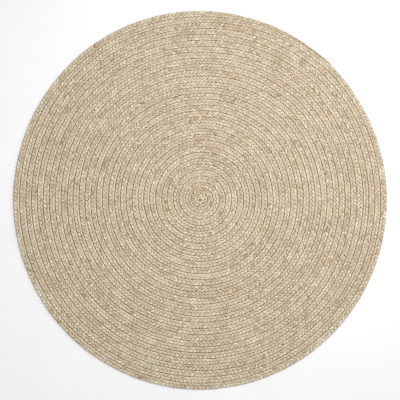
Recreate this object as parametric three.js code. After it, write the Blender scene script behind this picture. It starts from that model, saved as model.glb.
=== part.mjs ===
// A round braided wool rug, lying flat with its right side up.
// One three-strand braid is wound in a flat spiral and sewn edge to edge, so the top is a
// coil of low rounded rows, the underside is the flat face it rests on, and the rim is the
// rounded outer side of the last row. Millimetres, +Z up, +Y towards the rug's far edge.
import * as THREE from 'three';

// Overall size
const RUG_WIDTH = 1500;
const RUG_LENGTH = 1520;

// The coil's middle, a little off the middle of the outline
const COIL_MIDDLE_X = 2;
const COIL_MIDDLE_Y = 5;

// The braid, and the coil that it makes
const TURNS = 32;
const END_ANGLE = THREE.MathUtils.degToRad(46);
const BLUNT_START = 0.25;
const BRAID_THICKNESS = 12;
const SEAM_HEIGHT = 7.5;
const SHOULDER_SHARE = 0.27;
const CENTRE_HEIGHT = 8;

// Where the braid is narrower than half a row, its crest sinks with its width
const CREST_STEEPNESS = 2;

// Steps along the braid for each turn of the coil
const STEPS_PER_TURN = 48;

// The tail of the braid, thinned so that it runs out into the rim, in turns from its end
const TAPER_TURNS = 6 / STEPS_PER_TURN;
const TAIL_TURNS = 1 / STEPS_PER_TURN;
const TAIL_WIDTH_SHARE = 0.3;

// The rounded rim, below the last row's shoulder
const RIM_HEIGHT = 5.5;
const RIM_UNDERCUT = 4.5;

const WOOL = { color: 0xc6b69d, roughness: 0.95, metalness: 0 };

// Distance from the coil's middle to the oval outline, along one direction
function outlineReach(angle) {
  const halfWidth = RUG_WIDTH / 2;
  const halfLength = RUG_LENGTH / 2;
  const dx = Math.cos(angle) / halfWidth;
  const dy = Math.sin(angle) / halfLength;
  const ox = COIL_MIDDLE_X / halfWidth;
  const oy = COIL_MIDDLE_Y / halfLength;
  const along = dx * dx + dy * dy;
  const across = ox * dx + oy * dy;
  const inside = 1 - ox * ox - oy * oy;
  return (Math.sqrt(across * across + along * inside) - across) / along;
}

// The braid runs clockwise as the coil grows, and ends at END_ANGLE
function angleAt(turn) {
  return END_ANGLE + 2 * Math.PI * (TURNS - turn);
}

// Share of its full width that the braid has at one place along the coil
function widthShare(turn) {
  const left = TURNS - turn;
  if (left >= TAPER_TURNS) {
    return 1;
  }
  if (left >= TAIL_TURNS) {
    const through = (left - TAIL_TURNS) / (TAPER_TURNS - TAIL_TURNS);
    return TAIL_WIDTH_SHARE + (1 - TAIL_WIDTH_SHARE) * through;
  }
  return TAIL_WIDTH_SHARE * left / TAIL_TURNS;
}

// Width of one row along the direction of one place, where whole rows fill the oval outline
function rowWidth(turn) {
  const sinceEnd = turn - Math.floor(turn);
  const rows = TURNS - 2 + sinceEnd + widthShare(TURNS - 1 + sinceEnd);
  return outlineReach(angleAt(turn)) / rows;
}

// Distance from the coil's middle to the outer edge of the braid
function outerEdge(turn) {
  return rowWidth(turn) * (turn - 1 + widthShare(turn));
}

// A point given by its place along the coil, its distance out and its height
function pointAt(turn, reach, height) {
  const angle = angleAt(turn);
  return [COIL_MIDDLE_X + reach * Math.cos(angle), COIL_MIDDLE_Y + reach * Math.sin(angle), height];
}

// Collects shared points and the triangles between them
class Surface {
  constructor() {
    this.points = [];
    this.triangles = [];
  }

  add(point) {
    this.points.push(...point);
    return this.points.length / 3 - 1;
  }

  triangle(a, b, c) {
    if (a !== b && b !== c && a !== c) {
      this.triangles.push(a, b, c);
    }
  }

  quad(a, b, c, d) {
    this.triangle(a, b, c);
    this.triangle(a, c, d);
  }

  geometry() {
    const geometry = new THREE.BufferGeometry();
    geometry.setAttribute('position', new THREE.Float32BufferAttribute(this.points, 3));
    geometry.setIndex(this.triangles);
    geometry.computeVertexNormals();
    return geometry;
  }
}

// The braid's cross-section at each step: its inner seam, two shoulders and its outer seam
function braidSections(surface) {
  const firstStep = Math.round(BLUNT_START * STEPS_PER_TURN);
  const lastStep = TURNS * STEPS_PER_TURN;
  const centre = surface.add(pointAt(0, 0, CENTRE_HEIGHT));
  const sections = [];
  for (let step = firstStep; step <= lastStep; step += 1) {
    const turn = step / STEPS_PER_TURN;
    const turnBefore = sections[step - STEPS_PER_TURN - firstStep];
    const inner = turnBefore ? turnBefore.outer : centre;
    if (step === lastStep) {
      sections.push({ inner, inShoulder: inner, outShoulder: inner, outer: inner });
      continue;
    }
    const innerReach = turnBefore ? outerEdge(turn - 1) : 0;
    const outerReach = outerEdge(turn);
    const width = outerReach - innerReach;
    const rise = Math.min(1, CREST_STEEPNESS * width / rowWidth(turn));
    const crest = SEAM_HEIGHT + (BRAID_THICKNESS - SEAM_HEIGHT) * rise;
    const seam = turn > TURNS - 1 ? RIM_HEIGHT : SEAM_HEIGHT;
    sections.push({
      inner,
      inShoulder: surface.add(pointAt(turn, innerReach + SHOULDER_SHARE * width, crest)),
      outShoulder: surface.add(pointAt(turn, outerReach - SHOULDER_SHARE * width, crest)),
      outer: surface.add(pointAt(turn, outerReach, seam)),
    });
  }
  return sections;
}

// The coiled top, from the blunt start at the middle to the tail at the rim
function addRows(surface, sections) {
  const start = sections[0];
  surface.triangle(start.inner, start.inShoulder, start.outShoulder);
  surface.triangle(start.inner, start.outShoulder, start.outer);
  for (let step = 1; step < sections.length; step += 1) {
    const before = sections[step - 1];
    const after = sections[step];
    surface.quad(before.inner, after.inner, after.inShoulder, before.inShoulder);
    surface.quad(before.inShoulder, after.inShoulder, after.outShoulder, before.outShoulder);
    surface.quad(before.outShoulder, after.outShoulder, after.outer, before.outer);
  }
}

// The lower half of the rim and the flat underside
function addUnderside(surface, sections) {
  const lastTurn = sections.slice(-STEPS_PER_TURN);
  const firstStep = TURNS * STEPS_PER_TURN - STEPS_PER_TURN + 1;
  const middle = surface.add(pointAt(0, 0, 0));
  const feet = lastTurn.map((section, index) => {
    const turn = (firstStep + index) / STEPS_PER_TURN;
    return surface.add(pointAt(turn, outerEdge(turn) - RIM_UNDERCUT, 0));
  });
  for (let index = 0; index < STEPS_PER_TURN; index += 1) {
    const next = (index + 1) % STEPS_PER_TURN;
    surface.quad(lastTurn[index].outer, lastTurn[next].outer, feet[next], feet[index]);
    surface.triangle(middle, feet[index], feet[next]);
  }
}

// The rug as one closed solid, moved so that the origin is under the middle of its outline
function braidedRug() {
  const surface = new Surface();
  const sections = braidSections(surface);
  addRows(surface, sections);
  addUnderside(surface, sections);
  const geometry = surface.geometry();
  geometry.computeBoundingBox();
  const middle = geometry.boundingBox.getCenter(new THREE.Vector3());
  geometry.translate(-middle.x, -middle.y, 0);
  const mesh = new THREE.Mesh(geometry, new THREE.MeshStandardMaterial(WOOL));
  mesh.name = 'braided_rug';
  return mesh;
}

const group = new THREE.Group();
group.add(braidedRug());

export default group;
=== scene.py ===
"""A round braided rug of heathered wool and jute, lying flat with its right side up.

One three-strand braid is wound in a flat spiral and sewn edge to edge. Here the strands
are real wound strands, the sewing is a thin web between them, and loose fibres stand off
the yarn. All sizes are in metres, in the frame of the CAD model.
"""
import logging
import math
from dataclasses import dataclass, field, replace

import bpy
import numpy as np
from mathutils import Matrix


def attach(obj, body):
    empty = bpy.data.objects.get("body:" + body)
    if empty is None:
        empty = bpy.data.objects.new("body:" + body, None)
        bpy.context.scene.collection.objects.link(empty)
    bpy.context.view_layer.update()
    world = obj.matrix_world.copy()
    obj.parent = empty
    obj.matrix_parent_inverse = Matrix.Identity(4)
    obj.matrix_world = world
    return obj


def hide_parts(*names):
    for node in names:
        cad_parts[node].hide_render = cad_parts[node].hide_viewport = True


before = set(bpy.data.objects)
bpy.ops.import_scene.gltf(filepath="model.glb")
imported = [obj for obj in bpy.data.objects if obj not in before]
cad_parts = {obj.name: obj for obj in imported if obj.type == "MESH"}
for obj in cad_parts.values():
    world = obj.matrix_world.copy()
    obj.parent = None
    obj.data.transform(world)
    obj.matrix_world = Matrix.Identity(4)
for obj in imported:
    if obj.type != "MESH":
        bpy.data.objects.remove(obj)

LOG = logging.getLogger("braided_rug")
MM = 0.001
NODE = "braided_rug"
BODY = "root"
BAKE_MAP = "OFBake"


def linear(colour: str) -> tuple[float, float, float, float]:
    """Turns an sRGB hex colour to linear light.

    Args:
        colour: The colour as six hex digits after a hash.

    Returns:
        Red, green, blue and full alpha, in linear light.
    """
    parts = [int(colour[i:i + 2], 16) / 255 for i in (1, 3, 5)]
    light = [c / 12.92 if c <= 0.04045 else ((c + 0.055) / 1.055) ** 2.4 for c in parts]
    return (*light, 1.0)


def add_node(material: bpy.types.Material, kind: str, links: dict | None = None,
             **settings) -> bpy.types.Node:
    """Adds a shader node, with its settings, values and links.

    Args:
        material: The material whose tree the node goes in.
        kind: The node's type, without the common first words.
        links: For each input by name or number, a value or an output to link.
        **settings: Properties that the node itself has.

    Returns:
        The new node.
    """
    tree = material.node_tree
    node = tree.nodes.new("ShaderNode" + kind)
    for name, value in settings.items():
        setattr(node, name, value)
    for name, value in (links or {}).items():
        socket = node.inputs[name]
        if isinstance(value, bpy.types.NodeSocket):
            tree.links.new(value, socket)
        else:
            socket.default_value = value
    return node


def add_ramp(material: bpy.types.Material, factor: bpy.types.NodeSocket,
             stops: list[tuple[float, str]]) -> bpy.types.NodeSocket:
    """Adds a colour ramp.

    Args:
        material: The material whose tree the ramp goes in.
        factor: What the ramp reads.
        stops: Places from 0 to 1, each with its hex colour, in order.

    Returns:
        The ramp's colour output.
    """
    ramp = add_node(material, "ValToRGB", {"Fac": factor})
    elements = ramp.color_ramp.elements
    while len(elements) < len(stops):
        elements.new(0.5)
    for element, (place, colour) in zip(elements, stops):
        element.position = place
        element.color = linear(colour)
    return ramp.outputs["Color"]


def add_range(material: bpy.types.Material, value: bpy.types.NodeSocket,
              source: tuple[float, float], target: tuple[float, float]) -> bpy.types.NodeSocket:
    """Adds a map from one range of numbers to another.

    Args:
        material: The material whose tree the map goes in.
        value: The number to map.
        source: The lowest and highest number to expect.
        target: What these two become.

    Returns:
        The mapped number, kept within the target.
    """
    mapped = add_node(material, "MapRange", {
        "Value": value, "From Min": source[0], "From Max": source[1],
        "To Min": target[0], "To Max": target[1]})
    return mapped.outputs["Result"]


def mix_colours(material: bpy.types.Material, factor: bpy.types.NodeSocket | float,
                first: bpy.types.NodeSocket,
                second: bpy.types.NodeSocket | tuple) -> bpy.types.NodeSocket:
    """Mixes two colours.

    Args:
        material: The material whose tree the mix goes in.
        factor: The share of the second colour.
        first: The first colour.
        second: The second colour.

    Returns:
        The mixed colour.
    """
    # The node's sockets for numbers and vectors come before those for colours
    mix = add_node(material, "Mix", {"Factor": factor, 6: first, 7: second}, data_type="RGBA")
    return mix.outputs[2]


def new_material(name: str) -> bpy.types.Material:
    """Makes an empty material that uses nodes, with its Principled shader.

    Args:
        name: The material's name.

    Returns:
        The new material.
    """
    material = bpy.data.materials.new(name)
    material.use_nodes = True
    material.node_tree.nodes.clear()
    shader = add_node(material, "BsdfPrincipled")
    add_node(material, "OutputMaterial", {"Surface": shader.outputs["BSDF"]})
    return material


def mesh_piece(name: str, points: np.ndarray, faces: list[np.ndarray],
               material: bpy.types.Material) -> bpy.types.Object:
    """Makes a mesh object from arrays.

    Args:
        name: The piece's name.
        points: One row of x, y and z for each vertex.
        faces: Arrays of vertex numbers, one row a face, one array for each number of corners.
        material: What the piece wears.

    Returns:
        The new object, at the origin.
    """
    mesh = bpy.data.meshes.new(name)
    corners = np.concatenate([f.ravel() for f in faces]).astype(np.int32)
    sizes = np.concatenate([np.full(len(f), f.shape[1]) for f in faces]).astype(np.int32)
    starts = np.concatenate([[0], np.cumsum(sizes)[:-1]]).astype(np.int32)
    mesh.vertices.add(len(points))
    mesh.vertices.foreach_set("co", points.astype(np.float32).ravel())
    mesh.loops.add(len(corners))
    mesh.loops.foreach_set("vertex_index", corners)
    mesh.polygons.add(len(sizes))
    mesh.polygons.foreach_set("loop_start", starts)
    mesh.polygons.foreach_set("use_smooth", sizes <= 4)
    mesh.update(calc_edges=True)
    mesh.validate()
    mesh.materials.append(material)
    piece = bpy.data.objects.new(name, mesh)
    bpy.context.scene.collection.objects.link(piece)
    return piece


def set_attribute(piece: bpy.types.Object, name: str, values: np.ndarray) -> None:
    """Gives each vertex of a piece a number or a vector that its material reads.

    Args:
        piece: The piece.
        name: The attribute's name.
        values: One number, or one row of three, for each vertex.
    """
    vector = values.ndim == 2
    kind = "FLOAT_VECTOR" if vector else "FLOAT"
    attribute = piece.data.attributes.new(name, kind, "POINT")
    attribute.data.foreach_set("vector" if vector else "value", values.astype(np.float32).ravel())


def set_bake_map(piece: bpy.types.Object, quads: np.ndarray, caps: np.ndarray) -> None:
    """Lays a piece's faces out flat, without overlaps, as a map for baked textures.

    Args:
        piece: The piece, whose quads come before its end caps.
        quads: The places of each quad's four corners, in its last two axes.
        caps: The places of each end cap's corners, in its last two axes.
    """
    layer = piece.data.uv_layers.new(name=BAKE_MAP, do_init=False)
    corners = np.concatenate([quads.ravel(), caps.ravel()]).astype(np.float32)
    layer.data.foreach_set("uv", corners)


def join_to_rug(piece: bpy.types.Object) -> None:
    """Makes a piece part of the rug, in place of the plain CAD solid.

    Args:
        piece: The piece.
    """
    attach(piece, BODY)
    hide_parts(NODE)


@dataclass(frozen=True)
class Wander:
    """Smooth, repeatable unevenness along the braid, such as hands leave.

    Its values are drawn once for each step of length, and eased between.
    """

    seed: int
    step: float
    size: float

    def along(self, distance: np.ndarray) -> np.ndarray:
        """Gives the unevenness at each distance along the braid.

        Args:
            distance: Distances along the braid.

        Returns:
            One value for each distance, with this wander's size as its spread.
        """
        count = int(distance.max() / self.step) + 3
        values = np.random.default_rng(self.seed).normal(0, self.size, count)
        place = distance / self.step
        before = place.astype(int)
        share = place - before
        ease = share * share * (3 - 2 * share)
        return values[before] * (1 - ease) + values[before + 1] * ease

    def for_strand(self, strand: int) -> "Wander":
        """The same kind of unevenness, drawn anew for one strand."""
        return replace(self, seed=self.seed + strand)


@dataclass(frozen=True)
class Coil:
    """The flat spiral that the braid follows, as in the CAD model.

    It grows clockwise from the middle, follows the slightly oval outline, and its tail
    thins out into the rim.
    """

    half_width: float = 0.750
    half_length: float = 0.760
    middle: tuple[float, float] = (0.002, 0.005)
    turns: int = 32
    end_angle: float = math.radians(46)
    first_turn: float = 0.5
    cad_steps: int = 48
    taper_turns: float = 6 / cad_steps
    tail_turns: float = 1 / cad_steps
    tail_width: float = 0.3
    thinnest: float = 0.45
    steps_per_turn: int = 360
    mean_row: float = 0.024
    unevenness: Wander = Wander(seed=14, step=0.19, size=0.9 * MM)
    calm_turns: float = 0.5

    def angle(self, turn: np.ndarray) -> np.ndarray:
        """The direction from the coil's middle at each turn."""
        return self.end_angle + 2 * np.pi * (self.turns - turn)

    def outline(self, angle: np.ndarray) -> np.ndarray:
        """The distance from the coil's middle to the oval outline.

        Args:
            angle: Directions from the coil's middle.

        Returns:
            One distance for each direction.
        """
        dx, dy = np.cos(angle) / self.half_width, np.sin(angle) / self.half_length
        ox, oy = self.middle[0] / self.half_width, self.middle[1] / self.half_length
        ahead = dx * dx + dy * dy
        across = ox * dx + oy * dy
        inside = 1 - ox * ox - oy * oy
        return (np.sqrt(across * across + ahead * inside) - across) / ahead

    def width_share(self, turn: np.ndarray) -> np.ndarray:
        """The share of its full width that the braid has at each turn."""
        left = self.turns - turn
        return np.interp(left, [0, self.tail_turns, self.taper_turns], [0, self.tail_width, 1])

    def row_width(self, turn: np.ndarray) -> np.ndarray:
        """The width of one whole row in the direction of each turn.

        Args:
            turn: Turns along the coil.

        Returns:
            One width for each.
        """
        since_end = turn - np.floor(turn)
        rows = self.turns - 2 + since_end + self.width_share(self.turns - 1 + since_end)
        return self.outline(self.angle(turn)) / rows

    def flatness(self, share: np.ndarray) -> np.ndarray:
        """The share of its height that the braid has at each share of its width."""
        return self.thinnest + (1 - self.thinnest) * np.minimum(share, 1)

    def rough_length(self, turn: np.ndarray) -> np.ndarray:
        """About how much braid there is up to each turn."""
        return math.pi * self.mean_row * turn * turn

    def seam_shift(self, turn: np.ndarray) -> np.ndarray:
        """How far the seam at each turn strays from an even spiral.

        The first turn and the rim don't stray.
        """
        calm = np.clip((self.turns - 1 - turn) / self.calm_turns, 0, 1) * np.clip(turn - 1, 0, 1)
        return calm * self.unevenness.along(self.rough_length(turn))

    def outer(self, turn: np.ndarray) -> np.ndarray:
        """The distance out to the braid's outer edge at each turn."""
        even = self.row_width(turn) * (turn - 1 + self.width_share(turn))
        return even + self.seam_shift(turn)

    def inner(self, turn: np.ndarray) -> np.ndarray:
        """The distance out to the braid's inner edge at each turn."""
        before = np.maximum(turn - 1, 0)
        return self.row_width(turn) * before + self.seam_shift(before)

    def place(self, turn: np.ndarray, reach: np.ndarray) -> np.ndarray:
        """Points in plan at each turn and distance out, with the rug's box on the origin.

        Args:
            turn: Turns along the coil.
            reach: Distances from the coil's middle.

        Returns:
            One row of x and y for each.
        """
        angle = self.angle(turn)
        points = np.stack([np.cos(angle) * reach, np.sin(angle) * reach], axis=-1)
        return points - self.box_middle()

    def box_middle(self) -> np.ndarray:
        """The middle of the outline's box, seen from the coil's middle.

        Returns:
            Its x and y, worked out from the same steps round the rim as in the CAD model.
        """
        turn = self.turns - 1 + np.arange(1, self.cad_steps + 1) / self.cad_steps
        angle, reach = self.angle(turn), self.outer(turn)
        x, y = np.cos(angle) * reach, np.sin(angle) * reach
        return np.array([x.max() + x.min(), y.max() + y.min()]) / 2

    def table(self) -> tuple[np.ndarray, np.ndarray]:
        """Steps finely along the coil.

        Returns:
            Each step's turn, and the length of braid up to it.
        """
        count = int((self.turns - self.first_turn) * self.steps_per_turn) + 1
        turn = np.linspace(self.first_turn, self.turns, count)
        points = self.place(turn, (self.outer(turn) + self.inner(turn)) / 2)
        steps = np.hypot(*np.diff(points, axis=0).T)
        return turn, np.concatenate([[0], np.cumsum(steps)])


@dataclass(frozen=True)
class WoolYarn:
    """Heathered wool and jute yarn, carded from undyed fleece and bast fibre, then spun.

    The eye sees cream and oatmeal yarns side by side, tan and greyish stretches, a few dark
    brown hairs, a matt face and a soft bloom at grazing angles. A real fibre is far too fine
    to show on a whole rug, so the fibres' marks are drawn coarser.
    """

    name: str = "spun_wool_and_jute_yarn"
    dark: str = "#937d5f"
    tan: str = "#beab88"
    oat: str = "#d7c7ad"
    pale: str = "#e6d8c0"
    cream: str = "#f6ecd9"
    rust: str = "#c7a680"
    grey: str = "#cdc4ae"
    # Painted shade: the colour that the yarn is darkened towards deep in the braid's grooves
    painted_groove_shade_colour: str = "#94835f"
    yarn_length: float = 30 * MM
    yarn_width: float = 2.8 * MM
    patch_length: float = 60 * MM
    patch_width: float = 14 * MM
    slub_length: float = 10 * MM
    slub_width: float = 5 * MM
    fibre_length: float = 5 * MM
    fibre_width: float = 0.7 * MM
    ridge_height: float = 0.7 * MM
    tint: float = 0.34
    raggedness: float = 0.5
    patch_share: float = 0.7
    tone_shift: float = 0.31
    lot_dulling: float = 0.3
    fibre_light: tuple[float, float] = (0.71, 1.01)
    patch_light: tuple[float, float] = (0.82, 1.18)
    roughness: tuple[float, float] = (0.82, 1.0)
    relief: float = 0.6
    shine: float = 0.2
    bloom: float = 0.15
    bloom_roughness: float = 0.6

    def stretched(self, material: bpy.types.Material, yarn: bpy.types.NodeSocket, length: float,
                  width: float) -> bpy.types.NodeSocket:
        """The yarn's coordinates, with one unit as a mark's length and width."""
        scale = (1 / length, 1 / width, 1 / width)
        return add_node(material, "Mapping", {"Vector": yarn, "Scale": scale}).outputs["Vector"]

    def noise(self, material: bpy.types.Material, yarn: bpy.types.NodeSocket, length: float,
              width: float, detail: float) -> bpy.types.Node:
        """Adds noise with marks of one length and width, and finer ones by its detail."""
        place = self.stretched(material, yarn, length, width)
        return add_node(material, "TexNoise", {"Vector": place, "Scale": 1.0, "Detail": detail})

    def colour(self, material: bpy.types.Material, patches: bpy.types.Node,
               cells: bpy.types.Node, lot: bpy.types.NodeSocket) -> bpy.types.NodeSocket:
        """Mixes the heather of single yarns with the warmer and greyer stretches.

        Args:
            material: The yarn's material.
            patches: The noise that sets long stretches apart.
            cells: The single yarns, each with a colour of its own.
            lot: How much warmer and duller the batch of yarn is at each place.

        Returns:
            The yarn's colour, before its light and dark.
        """
        tone = add_node(material, "SeparateColor", {"Color": cells.outputs["Color"]})
        blend = add_node(material, "Math", {
            0: patches.outputs["Fac"], 1: self.patch_share, 2: tone.outputs["Red"]},
            operation="MULTIPLY_ADD")
        shifted = add_node(material, "Math", {
            0: blend.outputs["Value"], 1: self.tone_shift}, operation="SUBTRACT")
        heather = add_ramp(material, shifted.outputs["Value"], [
            (0.0, self.dark), (0.03, self.tan), (0.24, self.oat),
            (0.6, self.pale), (1.0, self.cream)])
        hue = add_node(material, "SeparateColor", {"Color": patches.outputs["Color"]})
        warmth = add_node(material, "Math", {0: hue.outputs["Green"], 1: lot}, operation="ADD")
        stretch = add_ramp(material, warmth.outputs["Value"], [
            (0.3, self.grey), (0.5, self.oat), (0.7, self.rust)])
        return mix_colours(material, self.tint, heather, stretch)

    def light(self, material: bpy.types.Material, patches: bpy.types.Node,
              slubs: bpy.types.Node, fibres: bpy.types.Node,
              lot: bpy.types.NodeSocket) -> bpy.types.NodeSocket:
        """Works out how light each place of the yarn is.

        Args:
            material: The yarn's material.
            patches: The noise that sets long stretches apart.
            slubs: The noise of the yarn's thick and thin places.
            fibres: The noise of single fibres.
            lot: How much warmer and duller the batch of yarn is at each place.

        Returns:
            A factor for the yarn's colour.
        """
        bright = add_range(material, fibres.outputs["Fac"], (0.25, 0.75), self.fibre_light)
        plump = add_node(material, "Math", {
            0: patches.outputs["Fac"], 1: slubs.outputs["Fac"]}, operation="ADD")
        dulled = add_node(material, "Math", {
            0: lot, 1: -self.lot_dulling, 2: plump.outputs["Value"]}, operation="MULTIPLY_ADD")
        even = add_range(material, dulled.outputs["Value"], (0.7, 1.3), self.patch_light)
        return add_node(material, "Math", {0: bright, 1: even}, operation="MULTIPLY").outputs["Value"]

    def make(self) -> bpy.types.Material:
        """Builds the material, which reads the yarn's own straight coordinates and paints shade into
        the braid's grooves.

        Returns:
            The material.
        """
        material = new_material(self.name)
        shader = material.node_tree.nodes["Principled BSDF"]
        yarn = add_node(material, "Attribute", attribute_name="yarn").outputs["Vector"]
        depth = add_node(material, "Attribute", attribute_name="depth").outputs["Fac"]
        lot = add_node(material, "Attribute", attribute_name="lot").outputs["Fac"]
        patches = self.noise(material, yarn, self.patch_length, self.patch_width, 2.0)
        slubs = self.noise(material, yarn, self.slub_length, self.slub_width, 1.0)
        fibres = self.noise(material, yarn, self.fibre_length, self.fibre_width, 3.0)
        yarn_place = self.stretched(material, yarn, self.yarn_length, self.yarn_width)
        ragged = add_node(material, "VectorMath", {
            0: fibres.outputs["Color"], 1: (self.raggedness,) * 3, 2: yarn_place},
            operation="MULTIPLY_ADD")
        cells = add_node(material, "TexVoronoi", {"Vector": ragged.outputs["Vector"], "Scale": 1.0})
        colour = self.colour(material, patches, cells, lot)
        light = self.light(material, patches, slubs, fibres, lot)
        lit = add_node(material, "VectorMath", {0: colour, "Scale": light}, operation="SCALE")
        # Painted shade: darkens the colour towards the painted groove shade where the strands lie
        # deep in the grooves
        shaded = mix_colours(material, depth, lit.outputs["Vector"], linear(self.painted_groove_shade_colour))
        height = add_node(material, "Math", {
            0: cells.outputs["Distance"], 1: -1.0, 2: fibres.outputs["Fac"]},
            operation="MULTIPLY_ADD")
        bump = add_node(material, "Bump", {
            "Strength": self.relief, "Distance": self.ridge_height,
            "Height": height.outputs["Value"]})
        rough = add_range(material, fibres.outputs["Fac"], (0.0, 1.0), self.roughness)
        links = material.node_tree.links
        links.new(shaded, shader.inputs["Base Color"])
        links.new(rough, shader.inputs["Roughness"])
        links.new(bump.outputs["Normal"], shader.inputs["Normal"])
        shader.inputs["Specular IOR Level"].default_value = self.shine
        shader.inputs["Sheen Weight"].default_value = self.bloom
        shader.inputs["Sheen Roughness"].default_value = self.bloom_roughness
        return material


@dataclass(frozen=True)
class SewingWeb:
    """Undyed cotton sewing thread, drawn tight between the rows, with wool caught in it.

    The eye sees only a dull, darker floor to the seams and to the gaps of the braid. Its colours are
    darker than the thread's own, as painted shade on the seams' floors.
    """

    name: str = "sewing_thread_darkened_as_painted_seam_shade"
    # Darker than undyed cotton: painted shade for the floors of the seams and gaps
    thread: str = "#ad9570"
    shade: str = "#8b7352"
    thread_width: float = 1.2 * MM
    relief: float = 0.5
    roughness: tuple[float, float] = (0.85, 1.0)
    shine: float = 0.2

    def make(self) -> bpy.types.Material:
        """Builds the material, whose threads are mottles in Object coordinates.

        Returns:
            The material.
        """
        material = new_material(self.name)
        shader = material.node_tree.nodes["Principled BSDF"]
        place = add_node(material, "TexCoord").outputs["Object"]
        scaled = add_node(material, "Mapping", {
            "Vector": place, "Scale": (1 / self.thread_width,) * 3})
        noise = add_node(material, "TexNoise", {
            "Vector": scaled.outputs["Vector"], "Scale": 1.0, "Detail": 2.0})
        colour = add_ramp(material, noise.outputs["Fac"], [(0.35, self.shade), (0.65, self.thread)])
        bump = add_node(material, "Bump", {
            "Strength": self.relief, "Distance": self.thread_width / 2,
            "Height": noise.outputs["Fac"]})
        rough = add_range(material, noise.outputs["Fac"], (0.0, 1.0), self.roughness)
        links = material.node_tree.links
        links.new(colour, shader.inputs["Base Color"])
        links.new(rough, shader.inputs["Roughness"])
        links.new(bump.outputs["Normal"], shader.inputs["Normal"])
        shader.inputs["Specular IOR Level"].default_value = self.shine
        return material


@dataclass(frozen=True)
class StudioPaper:
    """Matt white background paper, rolled smooth. The eye sees an even, clean ground."""

    name: str = "white_background_paper"
    white: str = "#fbfbfd"
    shade: str = "#f7f8fb"
    grain: float = 0.4
    roughness: float = 0.9
    shine: float = 0.1

    def make(self) -> bpy.types.Material:
        """Builds the paper's material.

        Returns:
            The material.
        """
        material = new_material(self.name)
        shader = material.node_tree.nodes["Principled BSDF"]
        place = add_node(material, "TexCoord").outputs["Object"]
        noise = add_node(material, "TexNoise", {"Vector": place, "Scale": 1 / self.grain})
        colour = add_ramp(material, noise.outputs["Fac"], [(0.3, self.shade), (0.7, self.white)])
        material.node_tree.links.new(colour, shader.inputs["Base Color"])
        shader.inputs["Roughness"].default_value = self.roughness
        shader.inputs["Specular IOR Level"].default_value = self.shine
        return material


@dataclass(frozen=True)
class Strand:
    """One strand along the whole braid.

    It has a ring of points at each step, and each step's length of strand so far and its
    turn along the coil. Its mask for painted shade says how far each point lies in the braid's
    grooves.
    """

    rings: np.ndarray
    length: np.ndarray
    depth: np.ndarray
    turn: np.ndarray


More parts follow.
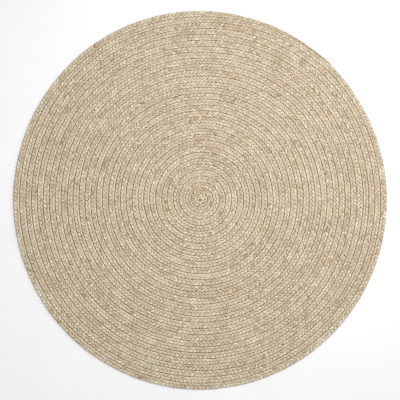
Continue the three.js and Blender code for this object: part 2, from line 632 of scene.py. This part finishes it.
@dataclass
class Braid:
    """The three-strand braid, as closed strands that pass over and under each other.

    It is made in groups of neighbouring rows. A strand swings from edge to edge once in
    each wave, and rises to the top and sinks to the underside twice.
    """

    coil: Coil
    material: bpy.types.Material
    wave: float = 48 * MM
    strands: int = 3
    steps_per_wave: int = 12
    sides: int = 8
    first_phase: float = math.pi / 12
    swing: float = 8.4 * MM
    snap: float = 0.05
    lift: float = 2.1 * MM
    dive: float = 0.1
    tuck: float = 0.75 * MM
    half_width: float = 5.6 * MM
    width_swell: float = 0.9 * MM
    half_height: float = 3.4 * MM
    height_swell: float = 0.2 * MM
    height_dip: float = 0.65 * MM
    narrowest: float = 0.35
    widest: float = 1.2
    seam_gap: float = 0.80 * MM
    least_gap: float = 0.1
    closed_share: float = 0.25
    open_turns: float = 9.0
    seam_swing: float = 0.82
    seam_wander: Wander = Wander(seed=15, step=0.035, size=0.4)
    press_depth: float = 2.6 * MM
    rim_from: float = 0.5
    rim_to: float = 0.9
    half_thickness: float = 6.0 * MM
    half_row: float = 12.0 * MM
    # Where, and how strongly, painted shade darkens the braid's grooves
    groove_level: float = 3.2 * MM
    groove_fade: float = 2.4 * MM
    painted_shade_strength: float = 0.35
    groups: int = 6
    tilt: float = 0.35
    squareness: float = 2.8
    yarn_radius: float = 4.5 * MM
    twist_length: float = 0.11
    strips: int = 13
    strip_share: float = 0.88
    map_margin: float = 0.01
    row_wander: Wander = Wander(seed=11, step=0.16, size=0.35 * MM)
    pace_wander: Wander = Wander(seed=12, step=0.11, size=0.22)
    height_wander: Wander = Wander(seed=13, step=0.07, size=0.2 * MM)
    plump_wander: Wander = Wander(seed=21, step=0.024, size=0.05)
    swing_wander: Wander = Wander(seed=31, step=0.05, size=0.03)
    strand_wander: Wander = Wander(seed=41, step=0.016, size=0.2 * MM)
    lot_wander: Wander = Wander(seed=16, step=0.1, size=0.075)
    pieces: list[bpy.types.Object] = field(default_factory=list)
    made: list[Strand] = field(default_factory=list)

    def sections(self, strand: int) -> Strand:
        """Works out one strand along the whole braid.

        Args:
            strand: The strand's number, from 0.

        Returns:
            The strand.
        """
        turns, lengths = self.coil.table()
        waves = round(lengths[-1] / self.wave)
        count = waves * self.steps_per_wave + 1
        along = np.linspace(0, lengths[-1], count)
        turn = np.interp(along, lengths, turns)
        inner, outer = self.coil.inner(turn), self.coil.outer(turn)
        share = np.clip((outer - inner) / 2 / self.half_row, self.narrowest, self.widest)
        flat = self.coil.flatness(share)
        phase = 2 * np.pi * (along / lengths[-1] * waves + strand / self.strands)
        phase += self.first_phase + self.pace_wander.along(along)
        plump = 1 + self.plump_wander.for_strand(strand).along(along)
        swing = self.swing * (1 + self.swing_wander.for_strand(strand).along(along))
        weave = np.sin(phase) + self.snap * np.sin(3 * phase)
        across = share * (swing * weave + self.row_wander.along(along))
        height = self.lift * (np.sin(2 * phase) + self.dive * np.sin(6 * phase))
        height -= self.tuck * np.cos(2 * phase)
        height += self.height_wander.along(along)
        height += self.strand_wander.for_strand(strand).along(along)
        centre = np.empty((count, 3))
        centre[:, :2] = self.coil.place(turn, (inner + outer) / 2 + across)
        centre[:, 2] = flat * (self.half_thickness + height)
        wide = share * plump * (self.half_width - self.width_swell * np.cos(4 * phase))
        tall = flat * plump * (self.half_height + self.height_swell * np.cos(4 * phase)
                               - self.height_dip * np.cos(2 * phase))
        # The product of sines and cosines has its peak at a quarter
        tilt = -4 * self.tilt * np.abs(np.sin(phase)) * np.cos(phase) * np.cos(2 * phase)
        rings = self.rings(centre, wide, tall, tilt)
        row_middle = self.coil.place(turn, (inner + outer) / 2)
        rim_share = self.press(rings, row_middle, turn, (outer - inner) / 2)
        steps = np.linalg.norm(np.diff(centre, axis=0), axis=1)
        # A mask for painted shade deep in the braid's grooves, which the free rim doesn't get
        level = np.abs(rings[:, :, 2] / flat[:, None] - self.half_thickness)
        sunk = np.clip((self.groove_level - level) / self.groove_fade, 0, 1) * (1 - rim_share)
        return Strand(rings, np.concatenate([[0], np.cumsum(steps)]), sunk, turn)

    def rings(self, centre: np.ndarray, wide: np.ndarray, tall: np.ndarray,
              tilt: np.ndarray) -> np.ndarray:
        """Sets an oval ring of points around a strand at each step.

        Args:
            centre: The strand's middle at each step.
            wide: Half of its width.
            tall: Half of its height.
            tilt: How far the ring's outer end dips, in radians.

        Returns:
            An array of steps by sides by x, y and z.
        """
        ahead = np.gradient(centre, axis=0)
        ahead /= np.linalg.norm(ahead, axis=1)[:, None]
        out = np.stack([-ahead[:, 1], ahead[:, 0], np.zeros(len(ahead))], axis=1)
        out /= np.linalg.norm(out, axis=1)[:, None]
        up = np.cross(ahead, out)
        flat = out * np.cos(tilt)[:, None] - up * np.sin(tilt)[:, None]
        rise = out * np.sin(tilt)[:, None] + up * np.cos(tilt)[:, None]
        turn = 2 * np.pi * (np.arange(self.sides) + 0.5) / self.sides
        swell = (np.abs(np.cos(turn)) ** self.squareness + np.abs(np.sin(turn)) ** self.squareness)
        swell = swell ** (-1 / self.squareness)
        ring = (flat * wide[:, None])[:, None] * (swell * np.cos(turn))[None, :, None]
        ring = ring + (rise * tall[:, None])[:, None] * (swell * np.sin(turn))[None, :, None]
        points = centre[:, None] + ring
        points[:, :, 2] = np.maximum(points[:, :, 2], 0)
        return points

    def press(self, rings: np.ndarray, row_middle: np.ndarray, turn: np.ndarray,
              half_row: np.ndarray) -> np.ndarray:
        """Presses the strands flat against the seams, where the next rows hold them.

        The seams stand a little more open at the left and right, as on a rug that is kept
        rolled up, and close up towards the tight middle of the coil. The outer side of the
        last turn is the free rim.

        Args:
            rings: The strand's points, which are moved.
            row_middle: The row's middle at each step.
            turn: Each step's turn along the coil.
            half_row: Half of the row's width at each step.

        Returns:
            How far each point has come out to the free rim, from 0 to 1.
        """
        angle = self.coil.angle(turn)
        out = np.stack([np.cos(angle), np.sin(angle)], axis=1)
        across = ((rings[:, :, :2] - row_middle[:, None]) * out[:, None]).sum(axis=2)
        uneven = self.seam_wander.along(self.coil.rough_length(turn))
        openness = 1 + self.seam_swing * np.cos(2 * angle) + uneven
        gap = self.seam_gap * np.maximum(openness, self.least_gap)
        gap *= self.closed_share + (1 - self.closed_share) * np.minimum(turn / self.open_turns, 1)
        limit = (half_row - gap / 2)[:, None]
        free = limit - self.press_depth
        over = np.maximum(np.abs(across) - free, 0) / self.press_depth
        pressed = np.sign(across) * (free + self.press_depth * np.tanh(over))
        last_turn = (turn > self.coil.turns - 1)[:, None]
        moved = np.where((over > 0) & ~(last_turn & (across > 0)), pressed - across, 0)
        rings[:, :, :2] += moved[:, :, None] * out[:, None]
        # The row has no width at the very end of the tail
        share = across / np.maximum(half_row, 1e-9)[:, None]
        out_to_rim = np.interp(share, (self.rim_from, self.rim_to), (0, 1))
        return np.where(last_turn, out_to_rim, 0)

    def tube_faces(self, steps: int, first: int) -> list[np.ndarray]:
        """The faces of one closed strand.

        Args:
            steps: How many rings it has.
            first: The number of its first point.

        Returns:
            Its side faces, and the two caps at its ends.
        """
        ring, side = np.meshgrid(np.arange(steps - 1), np.arange(self.sides), indexing="ij")
        after = (side + 1) % self.sides
        low, high = first + ring * self.sides, first + (ring + 1) * self.sides
        quads = np.stack([low + side, low + after, high + after, high + side], axis=-1)
        start = first + np.arange(self.sides)[::-1]
        end = first + (steps - 1) * self.sides + np.arange(self.sides)
        return [quads.reshape(-1, 4), np.stack([start, end])]

    def straight_yarn(self, length: np.ndarray, strand: int) -> np.ndarray:
        """Each point's place on the strand as it was before braiding, straight and round.

        Args:
            length: The strand's length up to each ring.
            strand: The strand's number, which keeps each strand's yarn apart.

        Returns:
            One row of x, y and z for each point.
        """
        twist = length[:, None] * 2 * np.pi / self.twist_length
        turn = 2 * np.pi * np.arange(self.sides)[None] / self.sides + twist
        x = np.repeat(length[:, None], self.sides, axis=1)
        y = self.yarn_radius * np.cos(turn) + strand
        z = self.yarn_radius * np.sin(turn)
        return np.stack([x, y, z], axis=-1).reshape(-1, 3)

    def flat_layout(self, steps: int) -> tuple[np.ndarray, np.ndarray]:
        """Unrolls a group's strands into strips, side by side in a square.

        Args:
            steps: How many rings each strand has.

        Returns:
            The places of the corners of each side face, and of each end cap.
        """
        columns = self.strands * self.strips + 1
        rows = math.ceil((steps - 1) / self.strips)
        strand, ring, side, corner = np.meshgrid(
            np.arange(self.strands), np.arange(steps - 1), np.arange(self.sides), np.arange(4),
            indexing="ij")
        round_it = side + np.isin(corner, (1, 2))
        along_it = ring % rows + (corner > 1)
        column = strand * self.strips + ring // rows + (1 - self.strip_share) / 2
        across = (column + self.strip_share * round_it / self.sides) / columns
        up = self.map_margin + (1 - 2 * self.map_margin) * along_it / rows
        quads = np.stack([across, up], axis=-1)
        turn = 2 * np.pi * np.arange(self.sides) / self.sides
        circle = np.stack([np.cos(turn), np.sin(turn)], axis=-1) * self.strip_share / 2 / columns
        middle = np.stack([
            np.full(2 * self.strands, (columns - 0.5) / columns),
            (np.arange(2 * self.strands) + 0.5) / (2 * self.strands)], axis=-1)
        return quads, middle[:, None] + circle

    def build(self) -> list[bpy.types.Object]:
        """Makes the braid's groups of rows.

        Returns:
            One piece for each group, from the middle outwards.
        """
        self.made = [self.sections(strand) for strand in range(self.strands)]
        count = len(self.made[0].turn)
        share = np.arange(self.groups + 1) / self.groups
        cuts = np.rint(share * (count - 1)).astype(int)
        for group in range(self.groups):
            low, high = cuts[group], cuts[group + 1] + 1
            steps = high - low
            points, quads, caps, yarn, painted_shade_masks, lots = [], [], [], [], [], []
            for number, strand in enumerate(self.made):
                sides, ends = self.tube_faces(steps, number * steps * self.sides)
                points.append(strand.rings[low:high].reshape(-1, 3))
                quads.append(sides)
                caps.append(ends)
                length = strand.length[low:high] - strand.length[low]
                yarn.append(self.straight_yarn(length, number))
                painted_shade_masks.append(strand.depth[low:high].ravel())
                lot = self.lot_wander.along(self.coil.rough_length(strand.turn))
                lots.append(np.repeat(lot[low:high], self.sides))
            faces = [np.concatenate(quads), np.concatenate(caps)]
            name = f"braid_rows_{group + 1}"
            piece = mesh_piece(name, np.concatenate(points), faces, self.material)
            set_attribute(piece, "yarn", np.concatenate(yarn))
            # The painted shade in the grooves, for the material to mix in
            set_attribute(piece, "depth", self.painted_shade_strength * np.concatenate(painted_shade_masks))
            set_attribute(piece, "lot", np.concatenate(lots))
            set_bake_map(piece, *self.flat_layout(steps))
            join_to_rug(piece)
            self.pieces.append(piece)
            LOG.info("%s has %d points", name, len(piece.data.vertices))
        return self.pieces


@dataclass
class LooseFibres:
    """The fibres that stand off the yarn, as thin, bent, closed hairs.

    They grow out of the strands' upper sides, and more of them out of the free rim. A real
    hair is too fine to show here, so they are drawn several times thicker and fewer.
    """

    coil: Coil
    material: bpy.types.Material
    on_top: int = 1300
    at_rim: int = 3200
    shortest: float = 4 * MM
    longest: float = 8 * MM
    thickness: float = 0.34 * MM
    lean: float = 0.5
    spread: float = 0.5
    flatness: float = 0.4
    bend: float = 0.4
    most_bend: float = 0.6
    top_facing: float = 0.5
    top_level: float = 9 * MM
    rim_facing: float = 0.35
    rim_level: float = 3 * MM
    rim_depth: float = 8 * MM
    seed: int = 51

    def roots(self, strands: list[Strand],
              rng: np.random.Generator) -> tuple[np.ndarray, np.ndarray]:
        """Picks the places that the fibres grow from.

        Args:
            strands: The braid's strands.
            rng: The seeded source of chance.

        Returns:
            The points, and the strand's outward direction at each.
        """
        points, away, places = [], [], []
        for strand in strands:
            rings = strand.rings
            outwards = rings - rings.mean(axis=1, keepdims=True)
            outwards /= np.linalg.norm(outwards, axis=2, keepdims=True) + 1e-9
            points.append(rings.reshape(-1, 3))
            away.append(outwards.reshape(-1, 3))
            places.append(np.repeat(strand.turn, rings.shape[1]))
        points, away, turn = np.concatenate(points), np.concatenate(away), np.concatenate(places)
        angle = self.coil.angle(turn)
        to_rim = away[:, 0] * np.cos(angle) + away[:, 1] * np.sin(angle)
        level = points[:, 2]
        top = np.flatnonzero((away[:, 2] > self.top_facing) & (level > self.top_level))
        free = (turn > self.coil.turns - 1) & (turn < self.coil.turns - self.coil.tail_turns)
        outer = np.hypot(points[:, 0], points[:, 1]) > self.coil.half_width - self.rim_depth
        rim = np.flatnonzero(
            free & outer & (to_rim > self.rim_facing) & (level > self.rim_level))
        picked = np.concatenate([rng.choice(top, self.on_top), rng.choice(rim, self.at_rim)])
        return points[picked], away[picked]

    def flat_layout(self, count: int) -> tuple[np.ndarray, np.ndarray]:
        """Gives each fibre a cell of a square grid, with its ends above its sides.

        Args:
            count: How many fibres there are.

        Returns:
            The places of the corners of each side face, and of each end cap.
        """
        grid = math.ceil(math.sqrt(count))
        cell = np.stack([np.arange(count) % grid, np.arange(count) // grid], axis=-1)
        # In its cell, a fibre's sides take the lower 0.7 and its two end triangles the rest
        segment, side, corner = np.meshgrid(
            np.arange(2), np.arange(3), np.arange(4), indexing="ij")
        across = 0.1 + 0.8 * (side + np.isin(corner, (1, 2))) / 3
        up = 0.1 + 0.3 * (segment + (corner > 1))
        quads = cell[:, None, None, None] + np.stack([across, up], axis=-1)[None]
        end = np.array([(0.1, 0.75), (0.4, 0.75), (0.25, 0.9)])
        caps = np.stack([cell[:, None] + end, cell[:, None] + end + (0.5, 0)])
        return quads / grid, caps / grid

    def build(self, strands: list[Strand]) -> bpy.types.Object:
        """Makes the fibres.

        Args:
            strands: The braid's strands.

        Returns:
            The fibres as one piece.
        """
        rng = np.random.default_rng(self.seed)
        roots, away = self.roots(strands, rng)
        count = len(roots)
        length = rng.uniform(self.shortest, self.longest, (count, 1))
        ahead = self.lean * away + rng.normal(0, self.spread, (count, 3))
        ahead[:, 2] *= self.flatness
        ahead /= np.linalg.norm(ahead, axis=1)[:, None]
        bend = np.clip(rng.normal(0, self.bend, (count, 3)), -self.most_bend, self.most_bend)
        bend *= (1, 1, self.flatness)
        start = roots - self.thickness * away
        middle = start + ahead * length / 2
        end = middle + (ahead + bend) * length / 2
        # Any direction will do here that no fibre follows
        side = np.cross(ahead, (0.1, 0.2, 1.0))
        side /= np.linalg.norm(side, axis=1)[:, None]
        other = np.cross(ahead, side)
        turn = 2 * np.pi * np.arange(3) / 3
        ring = (side[:, None] * np.cos(turn)[None, :, None]
                + other[:, None] * np.sin(turn)[None, :, None]) * self.thickness / 2
        # Each fibre is three rings of three points, with the last ring half as wide
        points = np.stack([
            start[:, None] + ring, middle[:, None] + ring, end[:, None] + ring / 2], axis=1)
        points[..., 2] = np.maximum(points[..., 2], 0)
        first = 9 * np.arange(count)[:, None, None]
        low = 3 * np.arange(2)[None, :, None] + first
        here, after = np.arange(3)[None, None], (np.arange(3)[None, None] + 1) % 3
        quads = np.stack([low + here, low + after, low + after + 3, low + here + 3], axis=-1)
        caps = np.concatenate([first[:, :, 0] + (2, 1, 0), first[:, :, 0] + (6, 7, 8)])
        faces = [quads.reshape(-1, 4), caps]
        piece = mesh_piece("loose_fibres", points.reshape(-1, 3), faces, self.material)
        along = np.repeat(np.arange(3) / 2, 3)[None] * length
        # Each fibre reads the yarn's pattern at a place of its own, far from the strands'
        own = np.repeat(rng.uniform(10, 20, (count, 1)), 9, axis=1)
        set_attribute(piece, "yarn", np.stack([along, own, 2 * own], axis=-1).reshape(-1, 3))
        set_attribute(piece, "depth", np.zeros(9 * count))
        set_bake_map(piece, *self.flat_layout(count))
        join_to_rug(piece)
        LOG.info("%s has %d hairs", piece.name, count)
        return piece


@dataclass
class SewnWeb:
    """The sewing between the rows, as one thin closed sheet inside the braid.

    It lies at mid height and follows the coil, a little thinner at each seam.
    """

    coil: Coil
    material: bpy.types.Material
    middle_height: float = 6.0 * MM
    row_thickness: float = 3.4 * MM
    seam_thickness: float = 2.4 * MM
    rim_inset: float = 4.5 * MM
    steps_per_turn: int = 72

    def build(self, laid_with: list[bpy.types.Object]) -> bpy.types.Object:
        """Args:
            laid_with: The other pieces of the rug; not used.

        Returns:
            The web's piece.
        """
        steps = self.steps_per_turn
        first, last = steps, self.coil.turns * steps
        turn = np.arange(first, last + 1) / steps
        seam = self.coil.outer(turn)
        seam[-steps:] -= self.rim_inset * self.coil.width_share(turn[-steps:])
        row = (self.coil.inner(turn) + seam) / 2
        plan = np.concatenate([
            self.coil.place(turn, seam), self.coil.place(turn, row), self.coil.place(turn[:1], 0)])
        count = len(turn)
        half = np.concatenate([
            np.full(count, self.seam_thickness), np.full(count, self.row_thickness),
            [self.row_thickness]]) / 2
        flat = self.coil.flatness(self.coil.width_share(turn))
        flat = np.concatenate([flat, flat, [1.0]])
        top = np.column_stack([plan, flat * (self.middle_height + half)])
        under = np.column_stack([plan, flat * (self.middle_height - half)])
        faces = self.faces(count)
        size = len(plan)
        # The wall round the rim joins the last turn's seam above and below
        rim = np.arange(count - steps, count)
        after = np.append(rim[1:], rim[0])
        wall = np.column_stack([rim, after, after + size, rim + size])
        triangles = np.concatenate([faces, faces[:, ::-1] + size])
        piece = mesh_piece("sewn_web", np.concatenate([top, under]), [triangles, wall], self.material)
        join_to_rug(piece)
        return piece

    def faces(self, count: int) -> np.ndarray:
        """The triangles of one side of the web.

        Args:
            count: How many steps there are along the coil.

        Returns:
            One row of three vertex numbers for each triangle, facing up.
        """
        steps, centre = self.steps_per_turn, 2 * count
        found = []
        for step in range(count - 1):
            seam, row = step, count + step
            inner = seam - steps if seam >= steps else centre
            after = seam + 1 - steps if seam + 1 >= steps else centre
            found += [(row, seam + 1, seam), (row, row + 1, seam + 1)]
            found += [(inner, after, row + 1), (inner, row + 1, row)]
        kept = [f for f in found if len(set(f)) == 3]
        return np.array(kept)


@dataclass
class Studio:
    """A plain white ground, soft light from the upper right, and the camera above."""

    paper: bpy.types.Material
    frame_width: float = 1.609
    frame_middle: tuple[float, float] = (-0.0007, 0.0003)
    camera_height: float = 3.8
    seen_height: float = 6 * MM
    sensor: float = 36.0
    ground_size: float = 14.0
    ground_drop: float = 0.4 * MM

    def add_ground(self) -> None:
        """Lays the paper just under the rug."""
        bpy.ops.object.select_all(action="DESELECT")
        bpy.ops.mesh.primitive_plane_add(size=self.ground_size, location=(0, 0, -self.ground_drop))
        ground = bpy.context.object
        ground.name = "studio_ground"
        ground.data.materials.append(self.paper)

    def add_lamp(self, name: str, place: tuple[float, float, float], size: float, power: float,
                 colour: str) -> None:
        """Adds a square area lamp that points at the rug's middle.

        Args:
            name: The lamp's name.
            place: Where it stands.
            size: Its width and length.
            power: Its power in watts.
            colour: Its light, as a hex colour.
        """
        lamp = bpy.data.lights.new(name, "AREA")
        lamp.size = size
        lamp.energy = power
        lamp.color = linear(colour)[:3]
        holder = bpy.data.objects.new(name, lamp)
        holder.visible_camera = False
        holder.location = place
        reach = math.hypot(place[0], place[1])
        heading = math.atan2(place[1], place[0]) + math.pi / 2
        holder.rotation_euler = (math.atan2(reach, place[2]), 0, heading)
        bpy.context.scene.collection.objects.link(holder)

    def add_sky(self, strength: float, colour: str) -> None:
        """Lights the scene evenly from all round.

        Args:
            strength: How strong the light is.
            colour: The light, as a hex colour.
        """
        world = bpy.data.worlds.new("soft_room")
        bpy.context.scene.world = world
        world.use_nodes = True
        back = world.node_tree.nodes["Background"]
        back.inputs["Color"].default_value = linear(colour)
        back.inputs["Strength"].default_value = strength

    def add_camera(self) -> None:
        """Hangs the camera straight above the rug, with the photo's frame."""
        camera = bpy.data.cameras.new("overhead_camera")
        camera.sensor_width = self.sensor
        camera.lens = self.sensor * (self.camera_height - self.seen_height) / self.frame_width
        camera.dof.use_dof = False
        holder = bpy.data.objects.new("overhead_camera", camera)
        holder.location = (*self.frame_middle, self.camera_height)
        bpy.context.scene.collection.objects.link(holder)
        bpy.context.scene.camera = holder

    def build(self) -> None:
        """Sets up the ground, lamps, sky and camera."""
        bpy.context.scene.view_settings.view_transform = "Standard"
        self.add_ground()
        self.add_lamp("high_lamp", (0.48, 0.57, 2.25), 1.0, 32.2, "#fffefb")
        self.add_lamp("key_lamp", (4.4, 1.4, 3.2), 2.0, 52.0, "#fdfdff")
        self.add_lamp("fill_card", (-2.2, -2.0, 1.5), 1.6, 10.0, "#fff6ea")
        self.add_sky(0.51, "#fbfbfb")
        self.add_camera()
        bpy.context.scene.cycles.use_denoising = False
        bpy.context.scene.cycles.filter_width = 1.0


def main() -> None:
    """Builds the rug and the studio, and logs the braid's and the fibres' pieces."""
    logging.basicConfig(level=logging.INFO, format="%(name)s: %(message)s")
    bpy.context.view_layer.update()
    Studio(StudioPaper().make()).build()
    coil = Coil()
    yarn = WoolYarn().make()
    braid = Braid(coil, yarn)
    rows = braid.build()
    fibres = LooseFibres(coil, yarn).build(braid.made)
    SewnWeb(coil, SewingWeb().make()).build([*rows, fibres])


if __name__ == "__main__":
    main()
